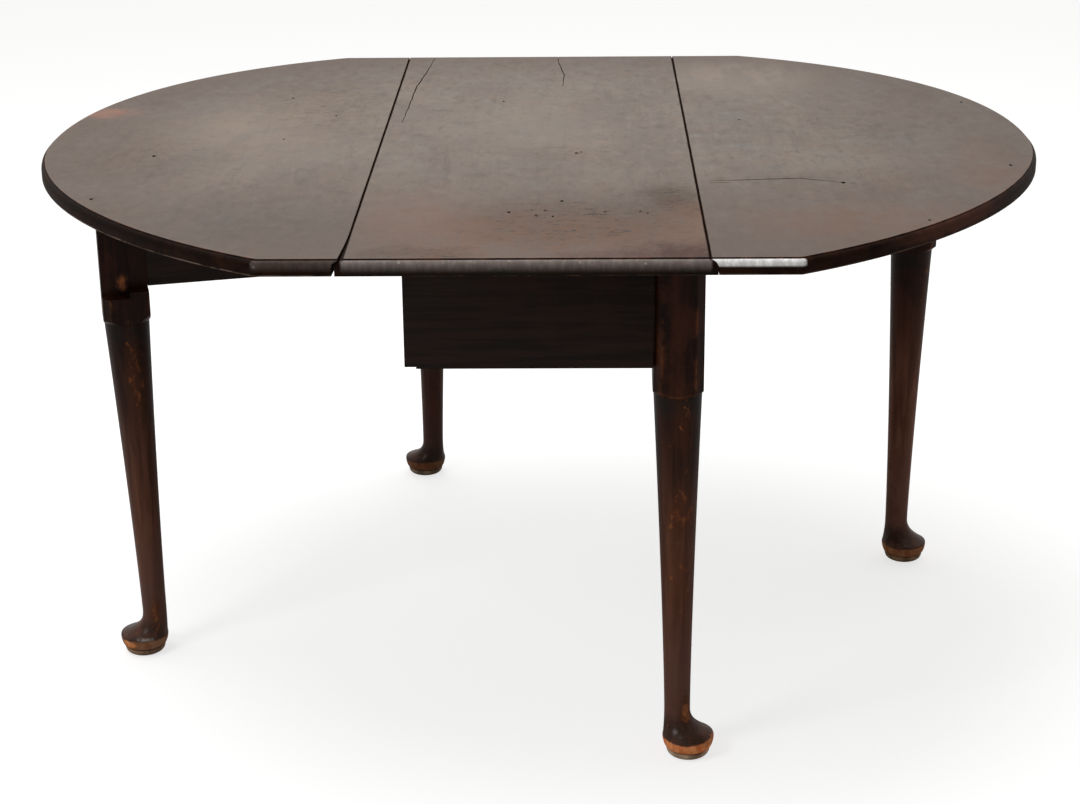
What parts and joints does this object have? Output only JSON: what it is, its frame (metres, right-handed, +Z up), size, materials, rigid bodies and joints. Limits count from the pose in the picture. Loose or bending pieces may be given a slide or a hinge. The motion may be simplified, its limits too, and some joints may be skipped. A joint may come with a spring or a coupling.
{
  "type": "drop-leaf dining table",
  "caption": "Oval gate-leg dining table with a fixed centre board, drop leaves on rule joints, and turned club legs on swinging gates.",
  "frame": {"origin": "on the floor under the middle of the oval top, with both leaves level", "axes": "+X across the leaves towards the right leaf, +Y along the rule joints towards the back apron, +Z up"},
  "size_m": [1.4046, 1.174, 0.711],
  "materials": {
    "top_wood": "old polish, grey-brown sheen",
    "leg_wood": "old polish, worn orange-brown on arrises",
    "rail_wood": "dark, dull old polish",
    "peg_wood": "dark, dull",
    "iron": "dark forged iron"
  },
  "bodies": {
    "frame": {"centre_board": "top_wood", "right_hinge_1_fixed_flap": "iron", "right_hinge_1_pin": "iron", "right_hinge_2_fixed_flap": "iron", "right_hinge_2_pin": "iron", "left_hinge_1_fixed_flap": "iron", "left_hinge_1_pin": "iron", "left_hinge_2_fixed_flap": "iron", "left_hinge_2_pin": "iron", "back_left_leg": "leg_wood", "back_apron": "rail_wood", "left_inner_rail": "rail_wood", "left_outer_rail": "rail_wood", "left_gate_pin": "iron", "back_apron_peg_1": "peg_wood", "back_apron_peg_2": "peg_wood", "left_rail_peg_1": "peg_wood", "left_rail_peg_2": "peg_wood", "left_glue_block_1": "rail_wood", "left_glue_block_2": "rail_wood", "left_top_screw_1": "iron", "left_top_screw_2": "iron", "front_right_leg": "leg_wood", "front_apron": "rail_wood", "right_inner_rail": "rail_wood", "right_outer_rail": "rail_wood", "right_gate_pin": "iron", "front_apron_peg_1": "peg_wood", "front_apron_peg_2": "peg_wood", "right_rail_peg_1": "peg_wood", "right_rail_peg_2": "peg_wood", "right_glue_block_1": "rail_wood", "right_glue_block_2": "rail_wood", "right_top_screw_1": "iron", "right_top_screw_2": "iron"},
    "left_leaf": {"left_leaf": "top_wood", "left_hinge_1_leaf_flap": "iron", "left_hinge_2_leaf_flap": "iron"},
    "right_leaf": {"right_leaf": "top_wood", "right_hinge_1_leaf_flap": "iron", "right_hinge_2_leaf_flap": "iron"},
    "left_gate": {"left_gate_rail": "rail_wood", "left_gate_leg": "leg_wood", "left_gate_peg_1": "peg_wood", "left_gate_peg_2": "peg_wood"},
    "right_gate": {"right_gate_rail": "rail_wood", "right_gate_leg": "leg_wood", "right_gate_peg_1": "peg_wood", "right_gate_peg_2": "peg_wood"}
  },
  "joints": [
    {"name": "left_gate_swing", "type": "hinge", "parent": "frame", "child": "left_gate", "pos_m": [-0.17155, -0.088, 0.62], "axis": [0, 0, 1], "range_deg": [-14.4, 75.4]},
    {"name": "right_gate_swing", "type": "hinge", "parent": "frame", "child": "right_gate", "pos_m": [0.16185, 0.088, 0.62], "axis": [0, 0, 1], "range_deg": [-7.3, 82.5]},
    {"name": "left_leaf_lift", "type": "hinge", "parent": "frame", "child": "left_leaf", "pos_m": [-0.22285, 0, 0.698], "axis": [0, 1, 0], "range_deg": [0, 3]},
    {"name": "right_leaf_lift", "type": "hinge", "parent": "frame", "child": "right_leaf", "pos_m": [0.21315, 0, 0.698], "axis": [0, -1, 0], "range_deg": [0, 3]}
  ]
}
